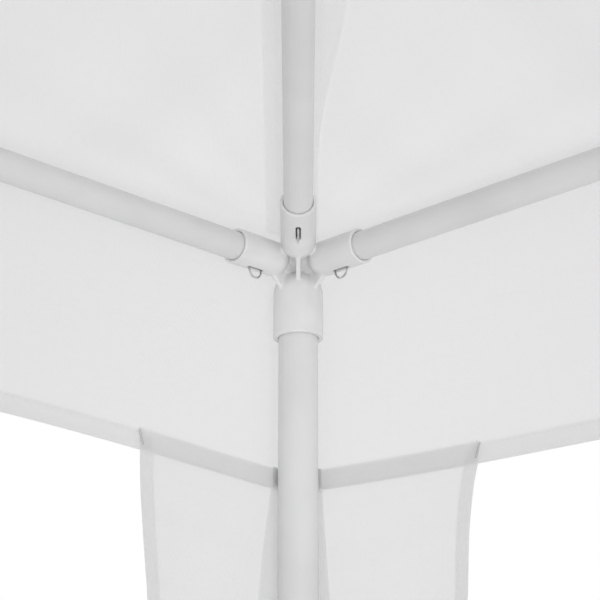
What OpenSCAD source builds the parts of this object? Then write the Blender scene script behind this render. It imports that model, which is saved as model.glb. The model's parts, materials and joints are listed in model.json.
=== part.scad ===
// Push-fit tube gazebo: steel legs, eaves and rafters, plastic corners and crown, sheet canopy.
// The origin is on the ground under the crown, +Z is up and the front is towards -Y.

/* [Frame] */
// Distance between neighbouring leg axes
span = 2966; // [2200:2:3600]
// Height of the eave tube axes above the ground
eave_h = 1950; // [1800:10:2200]
// Height of the crown point above the eave tube axes
roof_rise = 600; // [400:10:800]
// Height of the push joint in each leg above the ground
leg_joint_h = 960; // [600:10:1300]

/* [Tubes] */
// Outer diameter of the leg tubes
leg_d = 25; // [22:0.5:28]
// Outer diameter of the eave and rafter tubes
roof_d = 18; // [17:0.5:20]
// Wall of every tube
tube_wall = 1; // [0.7:0.1:1.3]
// Length of a swaged tube end inside the next tube
swage_len = 50; // [30:5:80]
// Length of the cone that leads down to a swaged end
swage_cone = 8; // [4:1:12]
// Radial gap between a tube and what it pushes into
push_gap = 0.15; // [0.1:0.05:0.3]
// Gap left between a tube's end and its stop
stop_gap = 0.2; // [0.1:0.1:0.5]

/* [Connectors] */
// Wall of the eave and rafter sockets
socket_wall = 2; // [1.6:0.1:2.6]
// Wall of the leg sleeves
sleeve_wall = 3.2; // [2:0.1:3.5]
// Distance from the corner point to the stop in an eave socket, where its domed end begins
eave_stop = 24; // [22:0.5:28]
// Length of an eave socket from its stop to its mouth
eave_socket_len = 32; // [32:1:50]
// Distance from the corner point to the stop in a rafter socket, where its domed end begins
rafter_stop = 28.5; // [25:0.5:34]
// Length of a rafter socket from its stop to its mouth
rafter_socket_len = 39.5; // [34:0.5:60]
// Distance from the crown point to the stop in a crown socket
crown_stop = 19; // [17:0.5:22]
// Depth of the stop in a leg sleeve below the eave axes, where its domed end begins
leg_stop = 19; // [17:0.5:24]
// Length of a leg sleeve from its stop to its mouth
sleeve_len = 29; // [24:1:50]
// Radius of the core at the corner point
core_r = 8; // [6:0.5:9]
// Thickness of the fin and the gussets
rib_t = 3; // [2:0.5:4]
// How far the fin and the gussets run into what they join
rib_bite = 1; // [0.5:0.1:1.5]
// Radius of the crown hub
hub_r = 20; // [17:0.5:24]
// Depth of the crown hub below the crown point
hub_depth = 16; // [15:0.5:20]
// Distance from the crown point at which the crown sockets begin inside the hub
crown_root = 12; // [10:0.5:14]

/* [Spring clips] */
// Diameter of the clip wire
clip_wire = 1.3; // [1:0.1:1.6]
// Outside length of the loop along its tube
clip_loop = 11.5; // [9:0.5:13]
// Height of the loop above its socket
clip_proud = 6; // [4:0.5:7]
// Gap between the wire and its slot
clip_slot_gap = 0.85; // [0.5:0.05:1.2]
// Distance from a socket's mouth to the middle of its clip
clip_in = 18; // [12:0.5:19]
// Gap between the wire and the inside of its tube
clip_rest = 0.3; // [0.2:0.05:0.6]
// Length of the sloping spring arm along the tube
clip_arm = 18; // [10:1:30]
// Rise of the spring arm across the tube
clip_rise = 4.2; // [2:0.1:5]

/* [Feet] */
// Width of a square foot plate
foot_w = 90; // [70:1:120]
// Thickness of a foot plate
foot_t = 3; // [2:0.5:6]
// Corner radius of a foot plate
foot_round = 10; // [5:1:15]
// Diameter of the peg holes
peg_hole_d = 9; // [6:0.5:11]
// Distance between neighbouring peg holes
peg_pitch = 65; // [50:1:66]
// Length of the spigot that stands in the leg
spigot_len = 50; // [30:5:80]

/* [Cloth] */
// Thickness of the sheet
sheet_t = 0.8; // [0.5:0.1:1.2]
// Gap between the sheet and the frame
cloth_gap = 0.6; // [0.4:0.1:1.5]
// Gap left along each seam
seam_gap = 0.15; // [0.1:0.05:0.3]
// Sag in the middle of each roof panel
roof_sag = 25; // [0:1:60]
// Depth of the valance edge below the eave axes
valance_drop = 142; // [110:1:250]
// Outward belly of the valance between its ripples
valance_belly = 4; // [0:0.5:10]
// Ripples in the valance on each side
valance_ripples = 5; // [1:1:9]

/* [Corner drapes] */
// Width of a drape panel at its top
drape_w = 135; // [90:5:200]
// Height of the band that holds a drape to the valance
drape_lap = 11; // [8:1:30]
// Clear height under the drapes
drape_clear = 40; // [20:5:300]
// Depth of the folds in a drape
drape_fold = 8; // [0:0.5:15]
// Folds across a drape panel
drape_folds = 1.5; // [0.5:0.5:3]
// Depth at which the folds reach their full depth
fold_settle = 400; // [100:10:800]
// Depth at which the free edge has drawn in
draw_settle = 100; // [50:10:300]
// How far the free edge draws in below the band
drape_draw = 10; // [0:1:20]

/* [Hidden] */
$fn = 64;
CORNERS = ["front_left", "front_right", "back_right", "back_left"];
SIDES = ["front", "right", "back", "left"];

// How far a cut runs past the faces that it opens
past = 1;

// Lines of the frame
half = span / 2;
crown_h = eave_h + roof_rise;
hip_run = half * sqrt(2);
hip_tilt = atan(roof_rise / hip_run);
hip_len = sqrt(hip_run * hip_run + roof_rise * roof_rise);
roof_tilt = atan(roof_rise / half);

// Radii of the tubes, sockets and sleeves
tube_r = roof_d / 2;
bore_r = tube_r + push_gap;
socket_r = bore_r + socket_wall;
leg_r = leg_d / 2;
leg_bore_r = leg_r + push_gap;
sleeve_r = leg_bore_r + sleeve_wall;
neck_r = core_r - rib_t / 2;

// Mouths and clips, as distances from the corner point or the crown point
eave_mouth = eave_stop + eave_socket_len;
eave_clip_at = eave_mouth - clip_in;
rafter_mouth = rafter_stop + rafter_socket_len;
rafter_clip_at = rafter_mouth - clip_in;
crown_mouth = crown_stop + rafter_socket_len;
crown_clip_at = crown_mouth - clip_in;
sleeve_mouth = leg_stop + sleeve_len;

// Wire line of a clip: foot inside the tube, loop outside the socket
loop_r = (clip_loop - clip_wire) / 2;
foot_bend = clip_wire;
foot_run = clip_loop / 3;
foot_depth = tube_r - tube_wall - clip_wire / 2 - clip_rest;
loop_centre = socket_r + clip_proud - clip_wire / 2 - loop_r;
slot_len = clip_loop + 2 * clip_slot_gap;
slot_w = clip_wire + 2 * clip_slot_gap;
wire_sides = 8;

// Surfaces of the cloth, as distances from the frame's lines
cloth_off = socket_r + cloth_gap;
valance_in = half + sleeve_r + cloth_gap;
valance_out = valance_in + sheet_t;
valance_edge = eave_h - valance_drop;
drape_in = valance_in - sheet_t - cloth_gap / 2;
drape_top = valance_edge + drape_lap;
fold_from = leg_r + drape_lap;
roof_rows = 8;
roof_cols = 12;
valance_cols = 6 * valance_ripples;
valance_rows = 3;
drape_rows = 12;
drape_cols = 10;

// Turns the first corner or side to number k
module at_turn(k) { rotate([0, 0, 90 * k]) children(); }

// Puts the origin on the corner point of corner k
module at_corner(k) { at_turn(k) translate([-half, -half, eave_h]) children(); }

// Puts +X along the rafter of corner k, from the corner point up to the crown
module along_rafter(k) { at_corner(k) rotate([0, -hip_tilt, 45]) children(); }

// Puts +X along the eave that leaves corner k on its second side
module along_second_eave(k) { at_corner(k) rotate([0, 0, 90]) children(); }

// Slot with round ends, through what lies between two depths under the axis
module slot_cut(at, shallow, deep) {
    flat = slot_len - slot_w;
    translate([at, 0, -deep])
        linear_extrude(deep - shallow) {
            square([flat, slot_w], center = true);
            for (end = [-1, 1]) translate([end * flat / 2, 0]) circle(d = slot_w);
        }
}

// Slot through the lower wall of a roof tube
module tube_slot(at) { slot_cut(at, tube_r - 2 * tube_wall, tube_r + tube_wall); }

// Tube of outer radius r along +X
module plain_tube(r, from, to) {
    translate([from, 0, 0])
        rotate([0, 90, 0])
            difference() {
                cylinder(r = r, h = to - from);
                translate([0, 0, -past]) cylinder(r = r - tube_wall, h = to - from + 2 * past);
            }
}

// Tube along +X whose far end narrows to push inside the next tube
module swaged_tube(r, from, to) {
    small = r - tube_wall - push_gap;
    rotate([0, 90, 0])
        rotate_extrude()
            polygon([
                [r, from], [r, to - swage_cone], [small, to], [small, to + swage_len],
                [small - tube_wall, to + swage_len], [small - tube_wall, to],
                [r - tube_wall, to - swage_cone], [r - tube_wall, from]
            ]);
}

// Cup of outer radius r along +X, still solid, with a domed end
module cup(r, stop, mouth) {
    translate([stop, 0, 0])
        rotate([0, 90, 0]) {
            sphere(r = r);
            cylinder(r = r, h = mouth - stop);
        }
}

// Bore of a socket along +X, with the slot for its clip
module socket_bore(stop, mouth, clip_at) {
    translate([stop, 0, 0]) rotate([0, 90, 0]) cylinder(r = bore_r, h = mouth - stop + past);
    slot_cut(clip_at, tube_r - tube_wall, socket_r + past);
}

// Upright plate of thickness rib_t, drawn as (distance along +X, height)
module rib(outline) {
    rotate([90, 0, 0]) linear_extrude(rib_t, center = true) polygon(outline);
}

// Fin between the rafter socket and the leg sleeve
module fin() {
    top = rafter_stop * [cos(hip_tilt), sin(hip_tilt)];
    under = top + (socket_r - rib_bite) * [sin(hip_tilt), -cos(hip_tilt)];
    foot = [sleeve_r - 2 * rib_bite, sleeve_r / 3 - leg_stop];
    rib([[0, 0], top, under, foot, [0, foot[1]]]);
}

// Gusset between an eave socket and the leg sleeve
module gusset() {
    rib([
        [0, 0], [eave_stop, 0], [eave_stop, rib_bite - socket_r],
        [sleeve_r - rib_bite, -leg_stop], [0, -leg_stop]
    ]);
}

// Necks and core that join the sockets of a corner
module corner_core() {
    sphere(r = core_r);
    for (turn = [0, 90]) rotate([0, 90, turn]) cylinder(r = neck_r, h = eave_stop);
    rotate([0, 90 - hip_tilt, 45]) cylinder(r = neck_r, h = rafter_stop);
    translate([0, 0, -leg_stop]) cylinder(r = core_r, h = leg_stop);
}

module corner_connector(k) {
    color("whitesmoke")
        at_corner(k)
            difference() {
                union() {
                    corner_core();
                    rotate([0, 0, 45]) fin();
                    rotate([0, 90, 0]) cup(sleeve_r, leg_stop, sleeve_mouth);
                    rotate([0, -hip_tilt, 45]) cup(socket_r, rafter_stop, rafter_mouth);
                    for (turn = [0, 90])
                        rotate([0, 0, turn]) {
                            gusset();
                            cup(socket_r, eave_stop, eave_mouth);
                        }
                }
                for (turn = [0, 90]) rotate([0, 0, turn]) socket_bore(eave_stop, eave_mouth, eave_clip_at);
                rotate([0, -hip_tilt, 45]) socket_bore(rafter_stop, rafter_mouth, rafter_clip_at);
                translate([0, 0, -sleeve_mouth - past]) cylinder(r = leg_bore_r, h = sleeve_len + past);
            }
}

// Hub of the crown, with a low cone under the peak of the cloth
module crown_hub() {
    tip_r = hub_r / 4;
    rim = cloth_off / cos(roof_tilt) - hub_r * tan(roof_tilt) - 2 * cloth_gap;
    tip = cloth_off / cos(roof_tilt) - tip_r * tan(roof_tilt) - 2 * cloth_gap;
    rotate_extrude() polygon([[0, -hub_depth], [hub_r, -hub_depth], [hub_r, rim], [tip_r, tip], [0, tip]]);
}

module crown_connector() {
    color("whitesmoke")
        translate([0, 0, crown_h])
            difference() {
                union() {
                    crown_hub();
                    for (k = [0:3])
                        at_turn(k)
                            rotate([0, hip_tilt, 45])
                                translate([crown_root, 0, 0])
                                    rotate([0, 90, 0]) cylinder(r = socket_r, h = crown_mouth - crown_root);
                }
                for (k = [0:3])
                    at_turn(k) rotate([0, hip_tilt, 45]) socket_bore(crown_stop, crown_mouth, crown_clip_at);
            }
}

module foot(k) {
    spigot_r = leg_r - tube_wall - push_gap;
    inset = foot_w / 2 - foot_round;
    color("silver")
        at_turn(k)
            translate([-half, -half, 0]) {
                linear_extrude(foot_t)
                    difference() {
                        union() {
                            square([foot_w, 2 * inset], center = true);
                            square([2 * inset, foot_w], center = true);
                            for (x = [-inset, inset], y = [-inset, inset])
                                translate([x, y]) circle(r = foot_round);
                        }
                        for (x = [-1, 1], y = [-1, 1])
                            translate([x, y] * peg_pitch / 2) circle(d = peg_hole_d);
                    }
                translate([0, 0, foot_t])
                    difference() {
                        cylinder(r = spigot_r, h = spigot_len);
                        cylinder(r = spigot_r - 2 * tube_wall, h = spigot_len + past);
                    }
            }
}

module lower_leg(k) {
    color("white")
        at_turn(k)
            translate([-half, -half, 0])
                rotate([0, -90, 0]) swaged_tube(leg_r, foot_t + stop_gap, leg_joint_h);
}

module upper_leg(k) {
    color("white")
        at_turn(k)
            translate([-half, -half, 0])
                rotate([0, -90, 0]) plain_tube(leg_r, leg_joint_h + stop_gap, eave_h - leg_stop - stop_gap);
}

module plain_eave(k) {
    color("white")
        at_corner(k)
            difference() {
                plain_tube(tube_r, eave_stop + stop_gap, half - stop_gap);
                tube_slot(eave_clip_at);
            }
}

module swaged_eave(k) {
    color("white")
        along_second_eave(k + 1)
            difference() {
                swaged_tube(tube_r, eave_stop + stop_gap, half);
                tube_slot(eave_clip_at);
            }
}

module lower_rafter(k) {
    color("white")
        along_rafter(k)
            difference() {
                swaged_tube(tube_r, rafter_stop + stop_gap, hip_len / 2);
                tube_slot(rafter_clip_at);
            }
}

module upper_rafter(k) {
    color("white")
        along_rafter(k)
            difference() {
                plain_tube(tube_r, hip_len / 2 + stop_gap, hip_len - crown_stop - stop_gap);
                tube_slot(hip_len - crown_clip_at);
            }
}

// Two triangles of a four-cornered patch
function patch(a, b, c, d) = [[a, b, c], [a, c, d]];

// Wire line of a clip as (distance along the tube, depth under its axis): arm, foot, loop, foot
function clip_line() =
    let (
        foot_x = loop_r + foot_bend,
        bend_depth = foot_depth + foot_bend,
        foot_end = foot_x + foot_run,
        bend = [for (t = [0:30:90]) [foot_x - foot_bend * sin(t), bend_depth - foot_bend * cos(t)]]
    )
        concat(
            [[foot_end + clip_arm, foot_depth - clip_rise], [foot_end, foot_depth]],
            bend,
            [for (t = [0:22.5:180]) [loop_r * cos(t), loop_centre + loop_r * sin(t)]],
            [for (i = [len(bend) - 1:-1:0]) [-bend[i][0], bend[i][1]]],
            [[-foot_end, foot_depth]]
        );

// Ring of wire points round point i of a flat line
function wire_ring(line, i) =
    let (
        run = line[min(i + 1, len(line) - 1)] - line[max(i - 1, 0)],
        across = [-run[1], run[0]] / norm(run)
    )
        [for (j = [0:wire_sides - 1])
            let (turn = 360 * j / wire_sides, p = line[i] + across * cos(turn) * clip_wire / 2)
                [p[0], sin(turn) * clip_wire / 2, -p[1]]];

// Spring clip: a loop through the slot, a foot each side of it and a sloping arm
module clip_wire_form() {
    line = clip_line();
    rings = len(line);
    n = wire_sides;
    polyhedron(
        [for (i = [0:rings - 1]) each wire_ring(line, i)],
        concat(
            [for (i = [0:rings - 2], j = [0:n - 1])
                let (a = i * n + j, b = i * n + (j + 1) % n) each patch(a, a + n, b + n, b)],
            [[for (j = [0:n - 1]) j]],
            [[for (j = [n - 1:-1:0]) (rings - 1) * n + j]]
        )
    );
}

module plain_eave_clip(k) {
    color("dimgray") at_corner(k) translate([eave_clip_at, 0, 0]) clip_wire_form();
}

module swaged_eave_clip(k) {
    color("dimgray") along_second_eave(k + 1) translate([eave_clip_at, 0, 0]) clip_wire_form();
}

module rafter_clip(k) {
    color("dimgray") along_rafter(k) translate([rafter_clip_at, 0, 0]) clip_wire_form();
}

module crown_clip(k) {
    color("dimgray")
        along_rafter(k) translate([hip_len - crown_clip_at, 0, 0]) rotate([0, 0, 180]) clip_wire_form();
}

// Faces of a sheet with rows of n points, its inner side first and its outer side from point o
function side_faces(rows, n, o) = [
    for (i = [0:rows - 2], j = [0:n - 2])
        let (a = i * n + j, d = a + n)
            each concat(patch(a, a + 1, d + 1, d), patch(o + a, o + d, o + d + 1, o + a + 1))
];

// Faces along the two ends of the rows
function end_faces(rows, n, o) = [
    for (i = [0:rows - 2])
        let (a = i * n, b = a + n - 1)
            each concat(patch(a, a + n, o + a + n, o + a), patch(b, o + b, o + b + n, b + n))
];

// Faces along the first row
function first_faces(n, o) = [for (j = [0:n - 2]) each patch(j, o + j, o + j + 1, j + 1)];

// Faces along the last row, whose first point is a
function last_faces(n, o, a) = [for (j = [a:a + n - 2]) each patch(j, j + 1, o + j + 1, o + j)];

// Closed sheet between two grids of points
module sheet(inner, outer) {
    rows = len(inner);
    n = len(inner[0]);
    o = rows * n;
    polyhedron(
        [for (grid = [inner, outer], row = grid) each row],
        concat(side_faces(rows, n, o), end_faces(rows, n, o), first_faces(n, o), last_faces(n, o, o - n))
    );
}

// Faces that run from the last row to the tip of a peaked sheet
function tip_faces(n, o) =
    let (a = o - n - 1, in = o - 1, out = 2 * o - 1)
        concat(
            [for (j = [a:a + n - 2]) each [[j, j + 1, in], [o + j, out, o + j + 1]]],
            patch(a, in, out, o + a),
            patch(a + n - 1, o + a + n - 1, out, in)
        );

// Height of the roof cloth's inner side at distance w from the middle, before it sags
function roof_z(w) = eave_h + cloth_off / cos(roof_tilt) + (half - w) * tan(roof_tilt);

// Sag at distance w from the middle and share q of the half width: none on the eave and hips
function roof_dip(w, q) =
    let (down = min(w / half, 1))
        roof_sag * 27 / 4 * (1 - down) * down * down * (1 - q * q);

module roof_panel(k) {
    n = roof_cols + 1;
    reach = concat([valance_out], [for (i = [0:roof_rows - 1]) half * (1 - i / roof_rows)]);
    o = len(reach) * n + 1;
    inner = concat(
        [for (w = reach, j = [0:roof_cols])
            let (q = 2 * j / roof_cols - 1) [q * w, -w, roof_z(w) - roof_dip(w, q)]],
        [[0, 0, roof_z(0)]]
    );
    outer = [for (p = inner) p + [0, 0, sheet_t / cos(roof_tilt)]];
    color("white")
        at_turn(k)
            translate([0, -seam_gap, 0])
                polyhedron(
                    concat(inner, outer),
                    concat(side_faces(len(reach), n, o), end_faces(len(reach), n, o),
                        first_faces(n, o), tip_faces(n, o))
                );
}

// Outward ripple of the valance at share q of its half width and share down of its depth
function ripple(q, down) = valance_belly * down * (1 - cos(180 * valance_ripples * (q + 1))) / 2;

// Grid of valance points at distance w from the middle
function valance_grid(w) = [
    for (i = [0:valance_rows])
        let (down = 1 - i / valance_rows)
            [for (j = [0:valance_cols])
                let (q = 2 * j / valance_cols - 1, top = roof_z(w) - seam_gap)
                    [q * w, -w - ripple(q, down), top + (valance_edge - top) * down]]
];

module valance() {
    color("white")
        for (k = [0:3])
            at_turn(k)
                translate([0, -seam_gap, 0]) sheet(valance_grid(valance_in), valance_grid(valance_out));
}

// Smooth step from 0 to 1
function ease(x) = let (t = min(max(x, 0), 1)) t * t * (3 - 2 * t);

// Inward fold of a drape at distance s from the corner and depth d under its top
function fold(s, d) =
    let (turn = 180 * drape_folds * max(s - fold_from, 0) / (drape_w - fold_from))
        drape_fold * ease(d / fold_settle) * pow(sin(turn), 2);

// Grid of drape points whose plane lies at distance w from the middle
function drape_grid(w) = [
    for (i = [0:drape_rows])
        let (z = drape_clear + (drape_top - drape_clear) * i / drape_rows, d = drape_top - z)
            [for (j = [0:drape_cols])
                let (q = j / drape_cols, s = q * (drape_w - drape_draw * ease(d / draw_settle)))
                    [s - drape_in - (w - drape_in) * (1 - q), fold(s, d) - w, z]]
];

module corner_drape(k) {
    color("white")
        at_turn(k)
            for (flip = [0, 1])
                mirror([flip, -flip, 0])
                    translate([seam_gap, 0, 0]) sheet(drape_grid(drape_in), drape_grid(drape_in + sheet_t));
}

crown_connector();
valance();
for (k = [0:3]) {
    foot(k);
    lower_leg(k);
    upper_leg(k);
    corner_connector(k);
    plain_eave(k);
    swaged_eave(k);
    lower_rafter(k);
    upper_rafter(k);
    plain_eave_clip(k);
    swaged_eave_clip(k);
    rafter_clip(k);
    crown_clip(k);
    roof_panel(k);
    corner_drape(k);
}
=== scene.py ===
import json
import math

import bmesh
import bpy
import numpy as np
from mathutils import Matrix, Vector


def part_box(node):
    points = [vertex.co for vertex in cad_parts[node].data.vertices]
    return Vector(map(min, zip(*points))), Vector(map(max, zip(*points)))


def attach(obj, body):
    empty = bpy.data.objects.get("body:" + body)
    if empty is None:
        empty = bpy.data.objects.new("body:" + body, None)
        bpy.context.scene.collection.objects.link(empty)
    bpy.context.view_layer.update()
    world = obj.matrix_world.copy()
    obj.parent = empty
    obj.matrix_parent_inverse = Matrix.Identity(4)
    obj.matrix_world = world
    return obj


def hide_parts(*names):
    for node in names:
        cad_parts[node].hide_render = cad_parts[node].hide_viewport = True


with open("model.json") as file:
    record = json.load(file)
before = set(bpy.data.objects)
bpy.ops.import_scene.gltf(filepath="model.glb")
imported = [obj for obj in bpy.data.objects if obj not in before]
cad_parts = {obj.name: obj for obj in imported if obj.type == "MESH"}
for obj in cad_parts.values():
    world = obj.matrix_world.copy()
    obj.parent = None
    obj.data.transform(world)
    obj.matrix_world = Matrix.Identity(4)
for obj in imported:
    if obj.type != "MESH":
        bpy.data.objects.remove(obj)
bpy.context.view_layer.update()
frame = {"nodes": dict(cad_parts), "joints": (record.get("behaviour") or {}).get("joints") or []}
nodes = frame["nodes"]
corners = ["front_left", "front_right", "back_right", "back_left"]  # each a quarter turn on from the last
sides = ["front", "right", "back", "left"]  # side k starts at corner k
print("frame loaded:", len(nodes), "nodes")

# Sizes taken from the frame, in metres
root2 = math.sqrt(2)
legLo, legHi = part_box("upper_leg_back_right")
half = (legLo.x + legHi.x) / 2  # leg axis from the middle
legR = (legHi.x - legLo.x) / 2
eaveLo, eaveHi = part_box("plain_eave_back")
eaveZ = (eaveLo.z + eaveHi.z) / 2
tubeR = (eaveHi.z - eaveLo.z) / 2  # of an eave or a rafter
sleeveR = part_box("corner_connector_back_right")[1].x - half
clipAxis = next(j["axis"] for j in frame["joints"] if j["name"] == "press_rafter_clip_back_right")
hipTilt = math.acos(clipAxis[2])  # a clip is pressed square to its rafter
roofTan = root2 * math.tan(hipTilt)  # slope of a roof panel
roofCos = 1 / math.hypot(1, roofTan)
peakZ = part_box("roof_panel_front")[1].z  # outside of the sheet at the peak
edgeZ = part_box("valance")[0].z  # lower edge of the valance
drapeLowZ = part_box("corner_drape_back_right")[0].z


# Meshes from grids of points

def gridFaces(rows, cols, closed=False):
    # quads of a grid, row by row; closed joins its last column to its first
    r, c = np.meshgrid(np.arange(rows - 1), np.arange(cols if closed else cols - 1), indexing="ij")
    a = r * cols + c
    b = r * cols + (c + 1) % cols
    return np.stack([a, b, b + cols, a + cols], -1).reshape(-1, 4)


def turned(points, k):  # k quarter turns about the vertical axis
    c, s = [(1, 0), (0, 1), (-1, 0), (0, -1)][k % 4]
    x, y, z = points[..., 0], points[..., 1], points[..., 2]
    return np.stack([c * x - s * y, s * x + c * y, z], -1)


def smoothStep(x, start=0, over=1):  # 0 up to start, 1 from start + over, with level ends
    t = np.clip((x - start) / over, 0, 1)
    return t * t * (3 - 2 * t)


def mergeDoubles(mesh, near=1e-6):
    shell = bmesh.new()
    shell.from_mesh(mesh)
    bmesh.ops.remove_doubles(shell, verts=shell.verts, dist=near)
    shell.to_mesh(mesh)
    shell.free()


def addObject(name, data):
    made = bpy.data.objects.new(name, data)
    bpy.context.scene.collection.objects.link(made)
    return made


def setMaterial(piece, material):
    piece.data.materials.clear()
    piece.data.materials.append(material)


def sheetGrid(points, u, v, seamRun, seamOff, flip=False):
    # u, v lie in the flat sheet; seamRun goes along its stitches, and seamOff is 0 on them
    rows, cols = points.shape[:2]
    faces = gridFaces(rows, cols)
    if flip:
        faces = faces[:, ::-1]
    spread = [np.broadcast_to(value, (rows, cols)).ravel() for value in (u, v, seamRun, seamOff)]
    return points.reshape(-1, 3), faces, np.stack(spread[:2], -1)[faces], np.stack(spread[2:], -1)[faces]


def sheetPiece(name, grids, material):  # grids: (points, faces, flat, seam) each, joined in one mesh
    start = np.cumsum([0] + [len(grid[0]) for grid in grids])
    points, faces, flat, seam = [np.concatenate(part) for part in zip(*grids)]
    faces = faces + np.repeat(start[:-1], [len(grid[1]) for grid in grids])[:, None]
    mesh = bpy.data.meshes.new(name)
    mesh.from_pydata(points.tolist(), [], faces.tolist())
    for layer, values in (("flat", flat), ("seam", seam)):  # both per face corner, in metres
        mesh.uv_layers.new(name=layer).data.foreach_set("uv", values.astype(np.float32).ravel())
    mesh.polygons.foreach_set("use_smooth", np.ones(len(faces), bool))
    piece = addObject(name, mesh)
    setMaterial(piece, material)
    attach(piece, "frame")
    return piece


# Shader maths

class Wire:  # a node socket that can be used in expressions
    def __init__(self, tree, socket=None):
        self.tree, self.socket = tree, socket

    def node(self, kind, settings=None, inputs=None, out=0):
        made = self.tree.nodes.new(kind)
        for key, value in (settings or {}).items():
            setattr(made, key, value)
        for key, value in (inputs or {}).items():
            if isinstance(value, Wire):
                self.tree.links.new(value.socket, made.inputs[key])
            else:
                made.inputs[key].default_value = value
        return Wire(self.tree, made.outputs[out]) if made.outputs else None

    def maths(self, operation, *values):
        return self.node("ShaderNodeMath", {"operation": operation}, dict(enumerate(values)))

    def __add__(self, other): return self.maths("ADD", self, other)
    def __radd__(self, other): return self.maths("ADD", other, self)
    def __sub__(self, other): return self.maths("SUBTRACT", self, other)
    def __rsub__(self, other): return self.maths("SUBTRACT", other, self)
    def __mul__(self, other): return self.maths("MULTIPLY", self, other)
    def __rmul__(self, other): return self.maths("MULTIPLY", other, self)
    def sin(self): return self.maths("SINE", self)
    def abs(self): return self.maths("ABSOLUTE", self)

    def over(self, low, high):  # 0 below low, 1 above high, smooth between
        settings = {"interpolation_type": "SMOOTHSTEP"}
        return self.node("ShaderNodeMapRange", settings, {0: self, 1: low, 2: high, 3: 0.0, 4: 1.0})

    def mix(self, first, second):  # colour from first to second as this value goes from 0 to 1
        return self.node("ShaderNodeMix", {"data_type": "RGBA"}, {0: self, 6: first, 7: second}, out=2)

    def uvMap(self, name):
        return self.node("ShaderNodeUVMap", {"uv_map": name})

    def objectPlace(self):
        return self.node("ShaderNodeTexCoord", out="Object")

    def vector(self, x, y, z=0.0):
        return self.node("ShaderNodeCombineXYZ", {}, {0: x, 1: y, 2: z})

    def part(self, i):  # x, y or z of a vector
        return self.node("ShaderNodeSeparateXYZ", {}, {0: self}, out=i)

    def noise(self, place, scale, detail=2.0):
        inputs = {"Vector": place, "Scale": scale, "Detail": detail, "Roughness": 0.5}
        return self.node("ShaderNodeTexNoise", {}, inputs)

    def bump(self, height, strength, distance):
        inputs = {"Height": height, "Strength": strength, "Distance": distance}
        return self.node("ShaderNodeBump", {}, inputs)

    def principled(self, inputs):
        return self.node("ShaderNodeBsdfPrincipled", {}, inputs)

    def finish(self, shader):
        self.node("ShaderNodeOutputMaterial", {}, {"Surface": shader})


def newMaterial(name):
    material = bpy.data.materials.new(name)
    material.use_nodes = True
    material.node_tree.nodes.clear()
    return material, Wire(material.node_tree)


def grey(value):
    return (value, value, value, 1.0)


def toneEnds(colour, uneven):  # darkest and lightest of an uneven colour
    return grey(colour - uneven), grey(colour + uneven)


print("helpers ready")

# Woven sheet: flat tapes crossing, uneven in density, so some let more light through
sheetLook = {
    "canopy": [0.865, 0.74, 0.91],     # colour, share of light that passes, how much of that comes out
    "hipStrip": [0.91, 0.92, 0.96],    # the same for the strip along the hips, set lighter than the canopy: painted light that evens out the shade of the doubled layer
    # the drapes' sheet is tuned to render a little darker than the canopy's: painted shade for the dimmer
    # light behind them
    "drape": [0.86, 0.785, 0.892],
    "uneven": 0.04,                    # how much the tapes differ
    "roughness": 0.5,
    "tape": 0.0022,                    # width of a tape, in metres
    "gap": 0.75,                       # where the gap beside a tape begins: 0 is its middle, 1 its edge
    "streaks": [320.0, 5.0],           # dense and thin tapes, to the metre: across them and along them
    "streakStep": 7.0,                 # keeps the two ways' streaks from being alike
    "clouds": 9.0,                     # broad patches, to the metre
    "stitch": 0.0045,                  # length of a stitch and its gap
    "dash": [-0.7, -0.3],              # where a stitch begins on the wave along its row
    "thread": 0.0005,                  # half the width of a row of stitches
    "threadCore": 0.6,                 # share of that with the thread's full tone
    "threadColour": 0.80,
    "pucker": 6,                       # reach of the dip beside a row, in threads
    "toneParts": [0.5, 0.5, 0.15],     # weights of streaks, clouds and gaps in the tone
    "bumpParts": [0.4, 0.6, 1.5, 2.0],   # of weave, streaks, stitches and pucker in the bump
    "passParts": [0.04, 0.02, 0.06],   # of streaks, gaps and stitches in the light that passes
    "relief": [0.25, 0.0003],          # strength and depth of the bump
}


def wovenSheet(name, colour, through, glow):
    look = sheetLook
    material, w = newMaterial(name)
    place = w.uvMap("flat")
    u, v = place.part(0), place.part(1)
    often, seldom = look["streaks"]
    along = w.vector(u * often, v * seldom)
    across = w.vector(u * seldom, v * often, look["streakStep"])
    streak = (w.noise(along, 1.0) + w.noise(across, 1.0)) - 1.0
    turn = math.pi / look["tape"]
    warp, weft = (u * turn).sin(), (v * turn).sin()
    weave = warp * weft  # over and under
    gaps = (1.0 - warp.abs()).over(look["gap"], 1.0) + (1.0 - weft.abs()).over(look["gap"], 1.0)
    cloud = w.noise(w.vector(u, v), look["clouds"], detail=3.0) - 0.5
    ofStreak, ofCloud, ofGap = look["toneParts"]
    shade = 0.5 + streak * ofStreak + cloud * ofCloud - gaps * ofGap
    seam = w.uvMap("seam")
    seamRun, seamOff = seam.part(0), seam.part(1).abs()
    dash = (seamRun * (2 * math.pi / look["stitch"])).sin().over(*look["dash"])
    stitch = (1.0 - seamOff.over(look["threadCore"] * look["thread"], look["thread"])) * dash
    tone = stitch.mix(shade.mix(*toneEnds(colour, colour * look["uneven"])), grey(look["threadColour"]))
    pucker = 1.0 - seamOff.over(0.0, look["pucker"] * look["thread"])  # the sheet dips towards its stitches
    ofWeave, ofStreak, ofStitch, ofPucker = look["bumpParts"]
    height = weave * ofWeave + streak * ofStreak + stitch * ofStitch - pucker * ofPucker
    normal = w.bump(height, *look["relief"])
    face = w.principled({"Base Color": tone, "Roughness": look["roughness"], "Normal": normal,
                         "Specular IOR Level": 0.0})  # no gloss, so that both faces look alike
    passed = w.node("ShaderNodeBsdfTranslucent", {}, {"Color": grey(glow), "Normal": normal})
    ofStreak, ofGap, ofStitch = look["passParts"]
    share = through + streak * ofStreak + gaps * ofGap - stitch * ofStitch
    w.finish(w.node("ShaderNodeMixShader", {}, {0: share, 1: face, 2: passed}))
    return material


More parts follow.
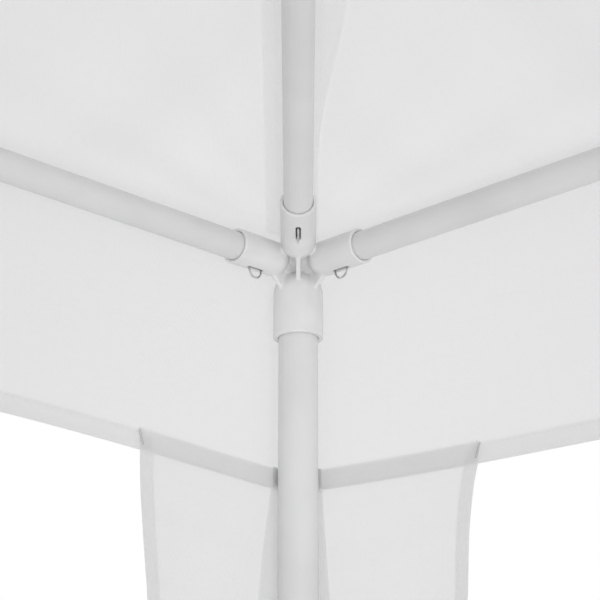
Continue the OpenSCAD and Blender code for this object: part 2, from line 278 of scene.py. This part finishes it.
# White powder coat on steel: fine orange peel, a little uneven
coatLook = {
    "colour": 0.65,
    "uneven": 0.03,
    "clouds": 14.0,            # patches to the metre
    "cloudEnds": [0.25, 0.75],
    "roughness": 0.38,
    "roughUneven": 0.2,
    "peel": 900.0,
    "relief": [0.12, 0.0003],  # strength and depth of the bump, as in the looks below
}


def powderCoat():
    look = coatLook
    material, w = newMaterial("powderCoat")
    place = w.objectPlace()
    peel = w.noise(place, look["peel"])
    cloud = w.noise(place, look["clouds"], detail=3.0)
    colour = cloud.over(*look["cloudEnds"]).mix(*toneEnds(look["colour"], look["uneven"]))
    rough = look["roughness"] + (peel - 0.5) * look["roughUneven"]
    normal = w.bump(peel, *look["relief"])
    w.finish(w.principled({"Base Color": colour, "Roughness": rough, "Normal": normal}))
    return material


# White moulded plastic: satin, with a fine sparked grain
plasticLook = {
    "colour": 0.70,
    "uneven": 0.025,
    "flow": 40.0,              # streaks of the melt, to the metre
    "flowEnds": [0.3, 0.7],
    "roughness": 0.42,
    "roughUneven": 0.15,
    "grain": 1600.0,
    "relief": [0.1, 0.0002],
}


def mouldedPlastic():
    look = plasticLook
    material, w = newMaterial("mouldedPlastic")
    place = w.objectPlace()
    grain = w.noise(place, look["grain"], detail=3.0)
    flow = w.noise(place, look["flow"])
    colour = flow.over(*look["flowEnds"]).mix(*toneEnds(look["colour"], look["uneven"]))
    rough = look["roughness"] + (flow - 0.5) * look["roughUneven"]
    normal = w.bump(grain, *look["relief"])
    w.finish(w.principled({"Base Color": colour, "Roughness": rough, "Normal": normal}))
    return material


# Drawn spring wire: fine lines, a little tarnish
wireLook = {
    "bright": 0.72,
    "dark": 0.42,
    "tarnish": 350.0,
    "tarnishEnds": [0.35, 0.7],
    "roughness": 0.3,
    "roughUneven": 0.2,
    "lines": 2500.0,
    "relief": [0.1, 0.0001],
}


def springWire():
    look = wireLook
    material, w = newMaterial("springWire")
    place = w.objectPlace()
    tarnish = w.noise(place, look["tarnish"], detail=3.0).over(*look["tarnishEnds"])
    colour = tarnish.mix(grey(look["bright"]), grey(look["dark"]))
    rough = look["roughness"] + tarnish * look["roughUneven"]
    normal = w.bump(w.noise(place, look["lines"], detail=1.0), *look["relief"])
    w.finish(w.principled({"Base Color": colour, "Roughness": rough, "Metallic": 1.0, "Normal": normal}))
    return material


# Painted crease shadow for the drapes' top corners: a dark grey, dressed as sewing thread with fine turns
# across the row
creaseShadowLook = {"colour": 0.48, "uneven": 0.1, "turn": 0.0005, "roughness": 0.7, "relief": [0.5, 0.0001]}


def paintedCreaseShadow():
    look = creaseShadowLook
    material, w = newMaterial("paintedCreaseShadow")
    run = w.uvMap("flat").part(1)
    turns = (run * (2 * math.pi / look["turn"])).sin() * 0.5 + 0.5
    colour = turns.mix(*toneEnds(look["colour"], look["uneven"]))
    normal = w.bump(turns, *look["relief"])
    w.finish(w.principled({"Base Color": colour, "Roughness": look["roughness"], "Normal": normal}))
    return material


sheetMaterial = wovenSheet("wovenSheet", *sheetLook["canopy"])
# the hip strip's sheet is a lightened copy of the canopy's: painted light against the doubled layer's shade
seamMaterial = wovenSheet("seamStrip", *sheetLook["hipStrip"])
# the drapes' sheet is a slightly darkened copy of the canopy's: painted shade
drapeMaterial = wovenSheet("drapeSheet", *sheetLook["drape"])
coatMaterial, plasticMaterial = powderCoat(), mouldedPlastic()
# the dark bar material paints the shadow of the creases at the drapes' top corners
wireMaterial, creaseShadowMaterial = springWire(), paintedCreaseShadow()
for name, piece in nodes.items():
    if "clip" in name:
        setMaterial(piece, wireMaterial)
    elif "connector" in name:
        setMaterial(piece, plasticMaterial)
    else:
        setMaterial(piece, coatMaterial)
print("materials ready")

# Canopy: level lines are rounded squares of half width w, and each level w lies at peak - w * slope
canopy = {
    "edgeOut": 0.0011,       # from the leg sleeve to the sheet
    "underPeak": 0.0004,     # from the frame's highest point to the sheet
    "edgeRound": 0.017,      # plan radius of the corners at the edge
    "hipRound": 0.008,       # and over the hips
    "roundFade": 0.06,       # distance over which one becomes the other
    "roundMost": 0.9,        # the most of the half width that it may be
    "stitchOff": 0.0125,     # from a hip to the stitches beside it
    "sag": 0.025,
    "heldHip": 0.05,         # wrinkles set in over this distance from a hip
    "heldEave": 0.03,        # and from the eave
    "gather": 0.0014,        # height of the gathers
    "gatherFade": 0.2,       # how far up from the eave they reach
    "gatherWaves": [(1.0, 46, 0.6), (0.6, 76, 2.1)],  # weight, radians to the metre, and start
    "fold": 0.002,           # height of the folds
    "folds": 2.5,            # between an eave and a hip
    "foldReach": 0.12,       # from the corner to where they are highest
    "slow": 0.004,           # height of the slow waves
    "slowWave": (7, 1),      # radians to the metre, and start
    "columns": 190,
    "crowded": 0.6,          # how much closer columns are near the corners
    "arc": 6,
    "rows": 96,
    "rowPower": 1.5,         # draws rows together towards the edge
    "lastRing": 0.0015,      # half width of the ring at the peak
}
wEdge = half + sleeveR + canopy["edgeOut"]
sheetPeak = peakZ - canopy["underPeak"]


def cornerRound(w):  # plan radius of the level line of half width w
    fade = smoothStep(wEdge - w, 0, canopy["roundFade"])
    radius = canopy["edgeRound"] + (canopy["hipRound"] - canopy["edgeRound"]) * fade
    return np.minimum(radius, canopy["roundMost"] * w)


def sideLine(w):  # x, y along one side at each level w: the straight stretch, then the corner at its end
    w = np.asarray(w, float)[:, None]
    radius = cornerRound(w)
    t = np.linspace(-1, 1, canopy["columns"], endpoint=False)
    share = t + canopy["crowded"] * np.sin(math.pi * t) / math.pi
    angle = np.linspace(0, math.pi / 2, canopy["arc"], endpoint=False)
    x = np.concatenate([share * (w - radius), (w - radius) + radius * np.sin(angle)], 1)
    y = np.concatenate([0 * share - w, -(w - radius) - radius * np.cos(angle)], 1)
    return x, y


def roofSag(x, w):
    # none on the eave and the hips, most two thirds of the way down, where 27 / 4 makes it the whole sag
    down = np.minimum(w / half, 1)
    share = np.clip(x / np.maximum(w, 1e-6), -1, 1)
    return canopy["sag"] * 27 / 4 * (1 - down) * down ** 2 * (1 - share ** 2)


def roofWrinkle(x, w):  # gathers along the eave, folds fanning from the corners, and slow waves between
    d = half - w  # from the eave
    e = half - np.abs(x)  # from the corner, along the eave
    held = smoothStep(e - d, 0, canopy["heldHip"]) * smoothStep(d, 0, canopy["heldEave"])
    ripple = sum(weight * np.sin(x * often + start) for weight, often, start in canopy["gatherWaves"])
    gathers = canopy["gather"] * np.exp(-np.maximum(d, 0) / canopy["gatherFade"]) * ripple
    reach = np.hypot(e, d) / canopy["foldReach"]
    fan = np.arctan2(d, e) / (math.pi / 4)
    folds = canopy["fold"] * np.sin(canopy["folds"] * 2 * math.pi * fan) * reach * np.exp(1 - reach)
    often, start = canopy["slowWave"]
    waves = canopy["slow"] * np.sin(x * often + start) * np.sin(math.pi * np.clip(d / half, 0, 1))
    return held * (gathers + folds + waves)


def roofHeight(x, w):  # the even slope, less the sag, with the wrinkles on it
    return sheetPeak - w * roofTan - roofSag(x, w) + roofWrinkle(x, w)


def closedRing(side):  # joins four turned copies of a side into one closed grid of rows
    return np.concatenate([turned(side, k) for k in range(4)], 1)


def ownSide(faces, points, cols):  # x, y of each face's points, turned back to the front side
    side = (faces[:, 0] % cols) // (cols // 4)
    spots = points.reshape(-1, 3)[faces]
    own = np.empty_like(spots)
    for k in range(4):
        own[side == k] = turned(spots[side == k], -k)
    return own[..., 0], own[..., 1]


def makeCanopy():  # level lines from the edge up to the last ring, which a ladder of faces closes
    depth = np.linspace(0, 1, canopy["rows"]) ** canopy["rowPower"]
    w = wEdge + (canopy["lastRing"] - wEdge) * depth
    x, y = sideLine(w)
    z = roofHeight(x, w[:, None])
    points = closedRing(np.stack([x, y, z], -1))
    rows, cols = points.shape[:2]
    rung = np.arange(cols // 2 - 1)
    ladder = (rows - 1) * cols + np.stack([rung, rung + 1, cols - 2 - rung, cols - 1 - rung], -1)
    faces = np.concatenate([gridFaces(rows, cols, closed=True), ladder])
    x, y = ownSide(faces, points, cols)
    flat = np.stack([x, (wEdge + y) / roofCos], -1)
    seam = np.stack([-y * root2, (-y - np.abs(x)) / root2 - canopy["stitchOff"]], -1)
    piece = sheetPiece("roofCanopy", [(points.reshape(-1, 3), faces, flat, seam)], sheetMaterial)
    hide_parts(*[f"roof_panel_{s}" for s in sides])


makeCanopy()
print("canopy made")

# Valance: hangs from the canopy's edge all round, with its lower edge turned up inside as a hem
valance = {
    "hem": 0.0115,
    "hemGap": 0.0008,
    "stitchIn": 0.0016,    # from the hem's upper edge to its stitches
    "edgeUp": 0.0005,      # lower edge above the frame's
    "wave": 0.008,         # its rise and fall
    "waves": 3,            # in each side
    "scallop": 0.0016,     # and smaller waves, twice as many
    "belly": 0.004,        # outward swell
    "ripples": 5,          # in each side
    "fine": 0.0007,        # and finer ones
    "fineRipples": 23,
    "rows": 26,
    "foldRows": 3,
    "hemRows": 7,
}


def hemZ(run):  # height of the valance's lower edge at a distance from the side's start
    turn = 2 * math.pi * valance["waves"] * np.clip(run / (2 * half), 0, 1)
    wave = valance["wave"] * np.sin(turn)
    return edgeZ + valance["edgeUp"] + wave - valance["scallop"] * np.cos(2 * turn)


def valanceOut(run, down):  # outward swell: shallow ripples that grow towards the lower edge
    share = np.clip(run / (2 * half), 0, 1)
    swell = valance["belly"] * (1 - np.cos(2 * math.pi * valance["ripples"] * share)) / 2
    fine = valance["fine"] * np.sin(2 * math.pi * valance["fineRipples"] * share) * np.sin(math.pi * share)
    return down * (swell + fine)


def makeValance():  # a profile carried round the edge: down, half a turn inwards, and up inside as the hem
    x, y = sideLine([wEdge])
    radius = cornerRound(wEdge)
    x, y = x[0], y[0]
    bend = np.clip((x - (wEdge - radius)) / radius, 0, 1)  # 0 on the straight, 1 where the corner ends
    outX, outY = bend, -np.sqrt(1 - bend ** 2)
    run = x + half
    topZ = sheetPeak - wEdge * roofTan
    low = hemZ(run)
    gap = valance["hemGap"]
    down = np.linspace(0, 1, valance["rows"])[:, None]
    fold = np.linspace(0, math.pi, valance["foldRows"] + 2)[1:-1, None]
    up = np.linspace(0, 1, valance["hemRows"])[:, None]
    z = np.concatenate([topZ + (low - topZ) * down,
                        low - np.sin(fold) * gap / 2 + 0 * run,
                        low + valance["hem"] * up])
    inward = np.concatenate([0 * down, (1 - np.cos(fold)) / 2 * gap, 0 * up + gap])
    out = valanceOut(run, np.clip((topZ - z) / (topZ - low), 0, 1)) - inward
    points = closedRing(np.stack([x + outX * out, y + outY * out, z], -1))
    rows, cols = points.shape[:2]
    faces = gridFaces(rows, cols, closed=True)[:, ::-1]
    deep = topZ - edgeZ
    drop = np.concatenate([down[:, 0] * deep, np.full(len(fold), deep), deep + up[:, 0] * valance["hem"]])
    x = ownSide(faces, points, cols)[0]
    flat = np.stack([x, drop[faces // cols]], -1)
    seam = np.stack([x, np.abs(drop[faces // cols] - deep) - valance["hem"] + valance["stitchIn"]], -1)
    piece = sheetPiece("valanceStrip", [(points.reshape(-1, 3), faces, flat, seam)], sheetMaterial)
    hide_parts("valance")


makeValance()
print("valance made")

# Corner drapes: two panels at each leg, whose tops are sewn inside the valance's hem
drape = {
    "band": 0.011,         # depth over which top and hem are sewn together
    "layer": 0.0009,       # between layers of sheet
    "aboveHem": 0.001,
    "hem": 0.0095,         # along the free side and the lower edge
    "hemAtTop": [0.1, 1.2],   # share of its width at the top, and how many bands down it is full
    "hemOver": 2.2,        # layers between the panel and the turned up hem, to lie clear of the leg
    "stitchIn": 0.0015,
    "turnedEnds": 3,       # extra layers where the top is turned over behind the leg
    "endLift": 0.0013,
    "endLayer": 0.00045,
    "endPast": 0.001,      # how far they go past the band and the corner's hem
    "bellyFade": 0.08,     # depth over which the valance's swell dies away
    "crease": [0.00022, 0.003, 0.021],  # faint packing creases across: height, half width and spacing
    "creaseSlant": 0.05,
    "creaseWave": [0.012, 53],  # how far they stray from even spacing, and radians to the metre
    "creaseFrom": 0.03,    # depth over which they set in below the band
    "fold": 0.008,
    "folds": 1.5,
    "foldFrom": 0.024,
    "foldSettle": 0.4,
    "rows": 420,
    "rowPower": 1.4,       # draws rows together towards the top
    "cols": 40,
    "cornerCols": 6,
    "hemCols": 5,
    "bendCols": 4,
    "bendUneven": 0.05,    # so that no face of the lower bend is flattened
}
# The panel on the side that starts at the corner, and the one on the side that ends there.
# draw: how far the free edge draws in; settle: over what depth; onset: how gently.
# cornerHem: its width at the top, how much it widens and over what depth
panels = {
    "start": {"width": 0.1280, "draw": 0.0120, "settle": 0.09, "onset": 2,
              "cornerHem": [0.0222, 0.0285, 0.15]},
    "end": {"width": 0.1442, "draw": 0.0105, "settle": 0.03, "onset": 1,
            "cornerHem": [0.0205, 0.0225, 0.177]},
}
drapeW = wEdge - valance["hemGap"] - drape["layer"]
drapeFull = edgeZ + valance["hem"] + drape["aboveHem"] - drapeLowZ


def drapePoint(which, share, depth, lift):
    # Point at a share of the panel's width and a depth under its top, lifted inwards.
    # The panel follows the valance's hem at its top and hangs straight below, drawn in at its free
    # edge, with long folds that settle downwards and narrow creases across
    panel = panels[which]
    below = np.maximum(depth - drape["band"], 0)
    width = panel["width"] - panel["draw"] * (1 - np.exp(-(below / panel["settle"]) ** panel["onset"]))
    s = share * width
    run = s - (drapeW - half)
    run = run if which == "start" else 2 * half - run
    top = hemZ(run) + valance["hem"] + drape["aboveHem"]
    z = top - depth / drapeFull * (top - drapeLowZ)
    foldWidth = panel["width"] - drape["foldFrom"]
    turn = math.pi * drape["folds"] * np.clip(s - drape["foldFrom"], 0, None) / foldWidth
    inward = drape["fold"] * smoothStep(depth, 0, drape["foldSettle"]) * np.sin(turn) ** 2 + lift
    belly = valanceOut(run, 1.0) * np.exp(-below / drape["bellyFade"])
    high, broad, spacing = drape["crease"]
    stray, often = drape["creaseWave"]
    turns = (depth + drape["creaseSlant"] * s + stray * np.sin(depth * often)) / spacing
    crease = high * np.exp(-((turns - np.round(turns)) * spacing / broad) ** 2)
    crease = crease * smoothStep(below, 0, drape["creaseFrom"])
    return np.stack([s - drapeW, inward + crease - belly - drapeW, z], -1)


def panelGrid(which):
    # one folded sheet: corner hem, panel and side hem across, with the lower hem turned up
    panel = panels[which]
    width, layer, hem = panel["width"], drape["layer"], drape["hem"]
    cornerCols, hemCols = drape["cornerCols"], drape["hemCols"]
    bend = np.linspace(0, math.pi, drape["bendCols"] + 2)[1:-1]
    lowBend = bend + drape["bendUneven"]
    deep = np.linspace(0, 1, drape["rows"]) ** drape["rowPower"] * drapeFull
    depth = np.concatenate([deep, drapeFull + layer * np.sin(lowBend),
                            drapeFull - hem * np.linspace(0, 1, hemCols)])[:, None]
    turn = np.concatenate([0 * deep, (1 - np.cos(lowBend)) / 2, np.ones(hemCols)])  # 1 on the lower hem
    turn = turn[:, None]
    base, widen, over = panel["cornerHem"]
    cornerWidth = base + widen * np.tanh(depth / over)
    atTop, bands = drape["hemAtTop"]
    hemWidth = hem * (atTop + (1 - atTop) * smoothStep(depth, 0, bands * drape["band"]))
    share = np.concatenate([cornerWidth / width * np.linspace(1, 0, cornerCols),
                            0 * depth + np.linspace(0, 1, drape["cols"]),
                            0 * depth + 1 + layer / 2 / width * np.sin(bend),
                            1 - hemWidth / width * np.linspace(0, 1, hemCols)], 1)
    sideLift = layer * np.concatenate([np.ones(cornerCols), np.zeros(drape["cols"]),
                                       (1 - np.cos(bend)) / 2, np.ones(hemCols)])
    lift = sideLift + turn * (drape["hemOver"] * layer - 2 * sideLift)
    points = drapePoint(which, share, depth + 0 * share, lift)
    stitchIn = hem - drape["stitchIn"]
    inCorner = np.arange(share.shape[1])[None, :] < cornerCols
    seamOff = np.where(inCorner, cornerWidth - drape["stitchIn"] - share * width,
                       (1 - share) * width - stitchIn)
    seamOff = np.where(turn == 1, drapeFull - depth - stitchIn, seamOff)
    seamRun = np.where(turn == 1, share * width, depth)
    return sheetGrid(points, share * width, depth, seamRun, seamOff)


def endGrid(which):  # the top turned over behind the leg: a ribbon folded to and fro
    width, layers, steps = panels[which]["width"], drape["turnedEnds"], drape["hemCols"]
    depth = np.linspace(0, drape["band"] + drape["endPast"], steps)[:, None]
    there, back = np.linspace(0, 1, steps), np.linspace(1, 0, steps)
    reach = (panels[which]["cornerHem"][0] + drape["endPast"]) / width
    share = reach * np.concatenate([back if i % 2 else there for i in range(layers)])[None, :]
    lift = drape["endLift"] + drape["endLayer"] * np.repeat(np.arange(layers), steps)[None, :]
    points = drapePoint(which, share, depth + 0 * share, lift)
    return sheetGrid(points, share * width, depth, depth, 1.0)


def atCorner(grid, which, k):
    # turned to corner k, after the end panel's is seen in the corner's mirror plane
    points, faces, flat, seam = grid
    if which == "end":
        points = points[:, [1, 0, 2]]
        faces, flat, seam = faces[:, ::-1], flat[:, ::-1], seam[:, ::-1]
    return turned(points, k), faces, flat, seam


def makeDrape(k):
    grids = [atCorner(make(which), which, k) for which in panels for make in (panelGrid, endGrid)]
    piece = sheetPiece(f"cornerDrape_{corners[k]}", grids, drapeMaterial)
    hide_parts(f"corner_drape_{corners[k]}")


for k in range(4):
    makeDrape(k)
print("drapes made")

# Painted crease shadows: a short flat dark bar, dressed as a row of thread, over each drape's free top
# corner, on the hem, where the sheet creases into shade
shadowBar = {
    "halfWidth": 0.0008,
    "height": 0.0004,
    "from": 0.0010,        # depth of its ends under the drape's top
    "to": 0.0104,
    "out": 0.0022,         # past the drape's free edge at its upper end
    "lean": 0.0034,        # and how much less at its lower end
    "blunt": 8,            # power of its rounded ends
    "rows": 24,
    "around": 12,
}


def shadowBarGrid(which):  # a half round bar: its section carried down the drape's edge, drawn in at both ends
    rows, around = shadowBar["rows"], shadowBar["around"]
    down = np.linspace(0, 1, rows)[:, None]
    angle = np.linspace(0, 2 * math.pi, around, endpoint=False)[None, :]
    ends = np.sqrt(np.clip(1 - (2 * down - 1) ** shadowBar["blunt"], 0, 1))
    depth = shadowBar["from"] + (shadowBar["to"] - shadowBar["from"]) * down + 0 * angle
    middle = shadowBar["out"] - shadowBar["lean"] * down
    share = 1 + (middle + shadowBar["halfWidth"] * ends * np.cos(angle)) / panels[which]["width"]
    lift = drape["layer"] + shadowBar["height"] * (1 + ends * np.sin(angle))
    points = drapePoint(which, share, depth, lift).reshape(-1, 3)
    faces = gridFaces(rows, around, closed=True)[:, ::-1]
    along = depth.ravel()
    flat = np.stack([0 * along, along], -1)[faces]
    return points, faces, flat, flat


def makeShadowBars(k):
    grids = [atCorner(shadowBarGrid(which), which, k) for which in panels]
    # the bars' dark grey is painted shadow of the crease at each corner
    piece = sheetPiece(f"cornerCreaseShadow_{corners[k]}", grids, creaseShadowMaterial)
    mergeDoubles(piece.data)  # closes the ends


for k in range(4):
    makeShadowBars(k)
# the bars are painted crease shadow
print("bar tacks made")

# Hip seams: the panels' edges lie doubled under the canopy along each hip
hipSeam = {
    "from": 0.006,         # along the hip from the leg's axis
    "toCrown": 0.085,
    "under": 0.0009,       # below the canopy
    "touch": 0.00015,      # the same where the sheet passes over the socket
    "socketEnd": [0.068, 0.012],   # where that ends along the hip, and the ease after it
    "socketSide": [0.004, 0.008],  # beside the hip
    "eave": [0.004, 0.01],         # and from the eave
    "startWing": 0.020,
    "endWing": [0.012, 0.028, 0.085, 0.235],   # narrow, wide, and where it begins and ends to widen
    "rows": 160,
    "rowPower": 1.3,       # draws rows together towards the eave
    "cols": 21,
}
hipLen = half * root2 / math.cos(hipTilt)


def levelOf(x, y):  # half width of the rounded level line through a point near a hip
    a, b = np.abs(x), np.abs(y)
    radius = cornerRound(np.maximum(a, b))
    near = np.abs(a - b) < radius
    arc = (a + b + 2 * radius - np.sqrt(np.maximum(2 * radius ** 2 - (a - b) ** 2, 0))) / 2
    return np.where(near, arc, np.maximum(a, b))


def makeHipSeam(k):  # s runs up the hip, off to either side of it, and the strip lies just under the canopy
    length = hipLen - hipSeam["toCrown"] - hipSeam["from"]
    s = hipSeam["from"] + length * np.linspace(0, 1, hipSeam["rows"])[:, None] ** hipSeam["rowPower"]
    narrow, wide, begin, end = hipSeam["endWing"]
    endWing = narrow + (wide - narrow) * smoothStep(s, begin, end - begin)
    across = np.linspace(-1, 1, hipSeam["cols"])[None, :]
    off = np.where(across > 0, across * hipSeam["startWing"], across * endWing) * root2
    base = -half + s * math.cos(hipTilt) / root2
    x = base + np.maximum(off, 0)
    y = base - np.minimum(off, 0)
    w = levelOf(x, y)
    alongSide = np.where(off >= 0, x, -y)
    pastSocket = smoothStep(s, *hipSeam["socketEnd"])
    besideSocket = smoothStep(np.abs(off), *hipSeam["socketSide"])
    clear = np.maximum(pastSocket, besideSocket) * smoothStep(half - w, *hipSeam["eave"])
    under = hipSeam["touch"] + (hipSeam["under"] - hipSeam["touch"]) * clear
    z = roofHeight(alongSide, w) - under / roofCos
    points = turned(np.stack([x, y, z], -1), k)
    stitchOff = np.abs(off) / root2 - canopy["stitchOff"]
    grid = sheetGrid(points, off, s, s, stitchOff, flip=True)
    piece = sheetPiece(f"hipSeam_{corners[k]}", [grid], seamMaterial)


for k in range(4):
    makeHipSeam(k)
print("hip seams made")

# Moulded connectors: the frame's solids with the blended edges of a moulding
moulding = {
    "cornerVoxel": 0.0006,
    "crownVoxel": 0.0008,
    "rounds": 8,           # of easing
    "inwards": 0.5,        # share of the way to the neighbours' mean
    "outwards": -0.52,     # and back again, so that nothing shrinks
    "pushGap": 0.00015,    # round a tube in its socket
    "boreFrom": 0.02,      # from the corner along a tube, to where its bore is held
    "boreNear": [0.0002, 0.0006],  # held this close to it, and the ease after that
}


def axisOf(node):  # middle of a straight tube's box, which lies on its axis
    low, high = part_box(node)
    return (np.array(low) + np.array(high)) / 2


def boreHold(points):
    # 0 on the bores of the front left corner, so that their rims stay close round the tubes, 1 elsewhere
    level = math.cos(hipTilt) / root2
    sockets = [(axisOf("upper_leg_front_left"), (0, 0, -1), legR),
               (axisOf("plain_eave_front"), (1, 0, 0), tubeR),
               (axisOf("swaged_eave_left"), (0, 1, 0), tubeR),
               (axisOf("lower_rafter_front_left"), (level, level, math.sin(hipTilt)), tubeR)]
    hold = np.ones(len(points))
    root = np.array([-half, -half, eaveZ])
    for middle, direction, radius in sockets:
        direction = np.array(direction)
        along = (points - middle) @ direction
        fromAxis = np.linalg.norm(points - middle - along[:, None] * direction, axis=1)
        fromBore = np.abs(fromAxis - radius - moulding["pushGap"])
        past = (points - root) @ direction > moulding["boreFrom"]
        hold *= np.where(past, smoothStep(fromBore, *moulding["boreNear"]), 1)
    return hold[:, None]


def mouldedMesh(node, voxel, heldBy=None):
    # closed skin of the solid, its edges eased by moving points to and from their neighbours' mean
    holder = addObject("mouldedSkin", nodes[node].data.copy())
    mergeDoubles(holder.data)
    remesh = holder.modifiers.new("skin", "REMESH")
    remesh.mode = "VOXEL"
    remesh.voxel_size = voxel
    skin = bpy.data.meshes.new_from_object(holder.evaluated_get(bpy.context.evaluated_depsgraph_get()))
    bpy.data.objects.remove(holder)
    points = np.empty(len(skin.vertices) * 3)
    skin.vertices.foreach_get("co", points)
    points = points.reshape(-1, 3)
    edges = np.empty(len(skin.edges) * 2, int)
    skin.edges.foreach_get("vertices", edges)
    a, b = edges.reshape(-1, 2).T
    total = len(points)
    count = np.bincount(np.concatenate([a, b]), minlength=total)[:, None]
    hold = heldBy(points) if heldBy else 1
    for factor in [moulding["inwards"], moulding["outwards"]] * moulding["rounds"]:
        sums = [np.bincount(a, points[b, c], total) + np.bincount(b, points[a, c], total) for c in range(3)]
        points = points + hold * factor * (np.stack(sums, -1) / count - points)
    return skin, points


def makeMoulding(name, skin, points, node):
    mesh = skin.copy()
    mesh.name = name
    mesh.vertices.foreach_set("co", points.astype(np.float32).ravel())
    mesh.polygons.foreach_set("use_smooth", np.ones(len(mesh.polygons), bool))
    mesh.update()
    piece = addObject(name, mesh)
    setMaterial(piece, plasticMaterial)
    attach(piece, "frame")
    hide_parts(node)


cornerSkin, cornerPoints = mouldedMesh("corner_connector_front_left", moulding["cornerVoxel"], boreHold)
for k, c in enumerate(corners):
    makeMoulding(f"cornerMoulding_{c}", cornerSkin, turned(cornerPoints, k), f"corner_connector_{c}")
crownSkin, crownPoints = mouldedMesh("crown_connector", moulding["crownVoxel"])
makeMoulding("crownMoulding", crownSkin, crownPoints, "crown_connector")
print("mouldings made:", len(cornerPoints), len(crownPoints), "points")

# Camera inside, below the eaves, looking up at the back right corner
shot = {
    "lens": 102.0,
    "sensor": 36.0,
    "near": 0.01,
    "back": 1.0249,        # level distance from the corner, along the diagonal
    "below": 0.3777,       # under the eaves
    "pitch": 19.14,        # degrees up
    "pan": 0.064,          # degrees to the right of the diagonal
}


def makeCamera():
    turn = math.radians(45 - shot["pan"])
    pitch = math.radians(shot["pitch"])
    aim = Vector((math.cos(turn) * math.cos(pitch), math.sin(turn) * math.cos(pitch), math.sin(pitch)))
    data = bpy.data.cameras.new("camera")
    data.lens, data.sensor_width, data.clip_start = shot["lens"], shot["sensor"], shot["near"]
    camera = addObject("camera", data)
    inward = half - shot["back"] / root2
    camera.location = (inward, inward, eaveZ - shot["below"])
    camera.rotation_euler = aim.to_track_quat("-Z", "Y").to_euler()
    bpy.context.scene.camera = camera


# Studio: white surround, soft light through the sheet, and fill from beside the camera and from below
studio = {
    "surround": 0.76,
    "floor": 0.68,
    "floorUneven": 0.02,
    "floorPatches": 3.0,   # to the metre
    "floorRoughness": 0.8,
    "floorHalf": 20.0,
    "floorZ": -0.0005,
    "lamps": {  # watts, size (of a spot its cone and radius), place and aim
        "rightArea": [6.0, (4.0, 2.5), (5.5, 1.0, 2.0), (1.4, 1.2, 1.8)],
        "cornerArea": [7.0, (1.0, 1.0), (2.6, 2.6, 1.95), (1.45, 1.45, 1.9)],
        "topArea": [2.0, (1.6, 1.6), (1.9, 1.9, 4.2), (1.3, 1.3, 2.0)],
        "lowArea": [7.5, (1.4, 1.4), (0.5, 0.5, 0.3), (0.9, 0.9, 2.2)],
        "cameraSpot": [8.4, (42.0, 0.12), (0.74, 0.74, 1.56), (1.483, 1.483, 1.87)],
        "sideSpot": [10.3, (60.0, 0.25), (1.1, 0.3, 1.5), (1.483, 1.483, 1.87)],
    },
}


def makeLamp(name, watts, size, place, aim):
    if "Spot" in name:
        data = bpy.data.lights.new(name, "SPOT")
        data.spot_size, data.spot_blend, data.shadow_soft_size = math.radians(size[0]), 1.0, size[1]
    else:
        data = bpy.data.lights.new(name, "AREA")
        data.shape, data.size, data.size_y = "RECTANGLE", size[0], size[1]
    data.energy = watts
    lamp = addObject(name, data)
    lamp.location = place
    lamp.rotation_euler = (Vector(aim) - lamp.location).to_track_quat("-Z", "Y").to_euler()
    lamp.visible_camera = False


def makeSurround():
    world = bpy.data.worlds.new("surround")
    world.use_nodes = True
    world.node_tree.nodes.clear()
    w = Wire(world.node_tree)
    rays = w.node("ShaderNodeLightPath").socket.node.outputs
    camera, glossy, diffuse, passed = [Wire(w.tree, rays[f"Is {kind} Ray"])
                                       for kind in ("Camera", "Glossy", "Diffuse", "Transmission")]
    direct = camera + glossy + passed * (1.0 - diffuse)  # light that the sheet spreads is no view of it
    level = direct.over(0.0, 1.0).mix(grey(studio["surround"]), grey(1.0))
    light = w.node("ShaderNodeBackground", {}, {"Color": level, "Strength": 1.0})
    w.node("ShaderNodeOutputWorld", {}, {"Surface": light})
    bpy.context.scene.world = world


def makeFloor():
    size, z = studio["floorHalf"], studio["floorZ"]
    mesh = bpy.data.meshes.new("floor")
    ring = [(-size, -size, z), (size, -size, z), (size, size, z), (-size, size, z)]
    mesh.from_pydata(ring, [], [(0, 1, 2, 3)])
    floor = addObject("floor", mesh)
    material, w = newMaterial("paleFloor")
    patches = w.noise(w.objectPlace(), studio["floorPatches"], detail=3.0)
    tone = patches.mix(*toneEnds(studio["floor"], studio["floorUneven"]))
    w.finish(w.principled({"Base Color": tone, "Roughness": studio["floorRoughness"]}))
    setMaterial(floor, material)


makeCamera()
makeSurround()
for name, lamp in studio["lamps"].items():
    makeLamp(name, *lamp)
makeFloor()
bpy.context.scene.view_settings.view_transform = "Standard"
print("camera and studio ready")
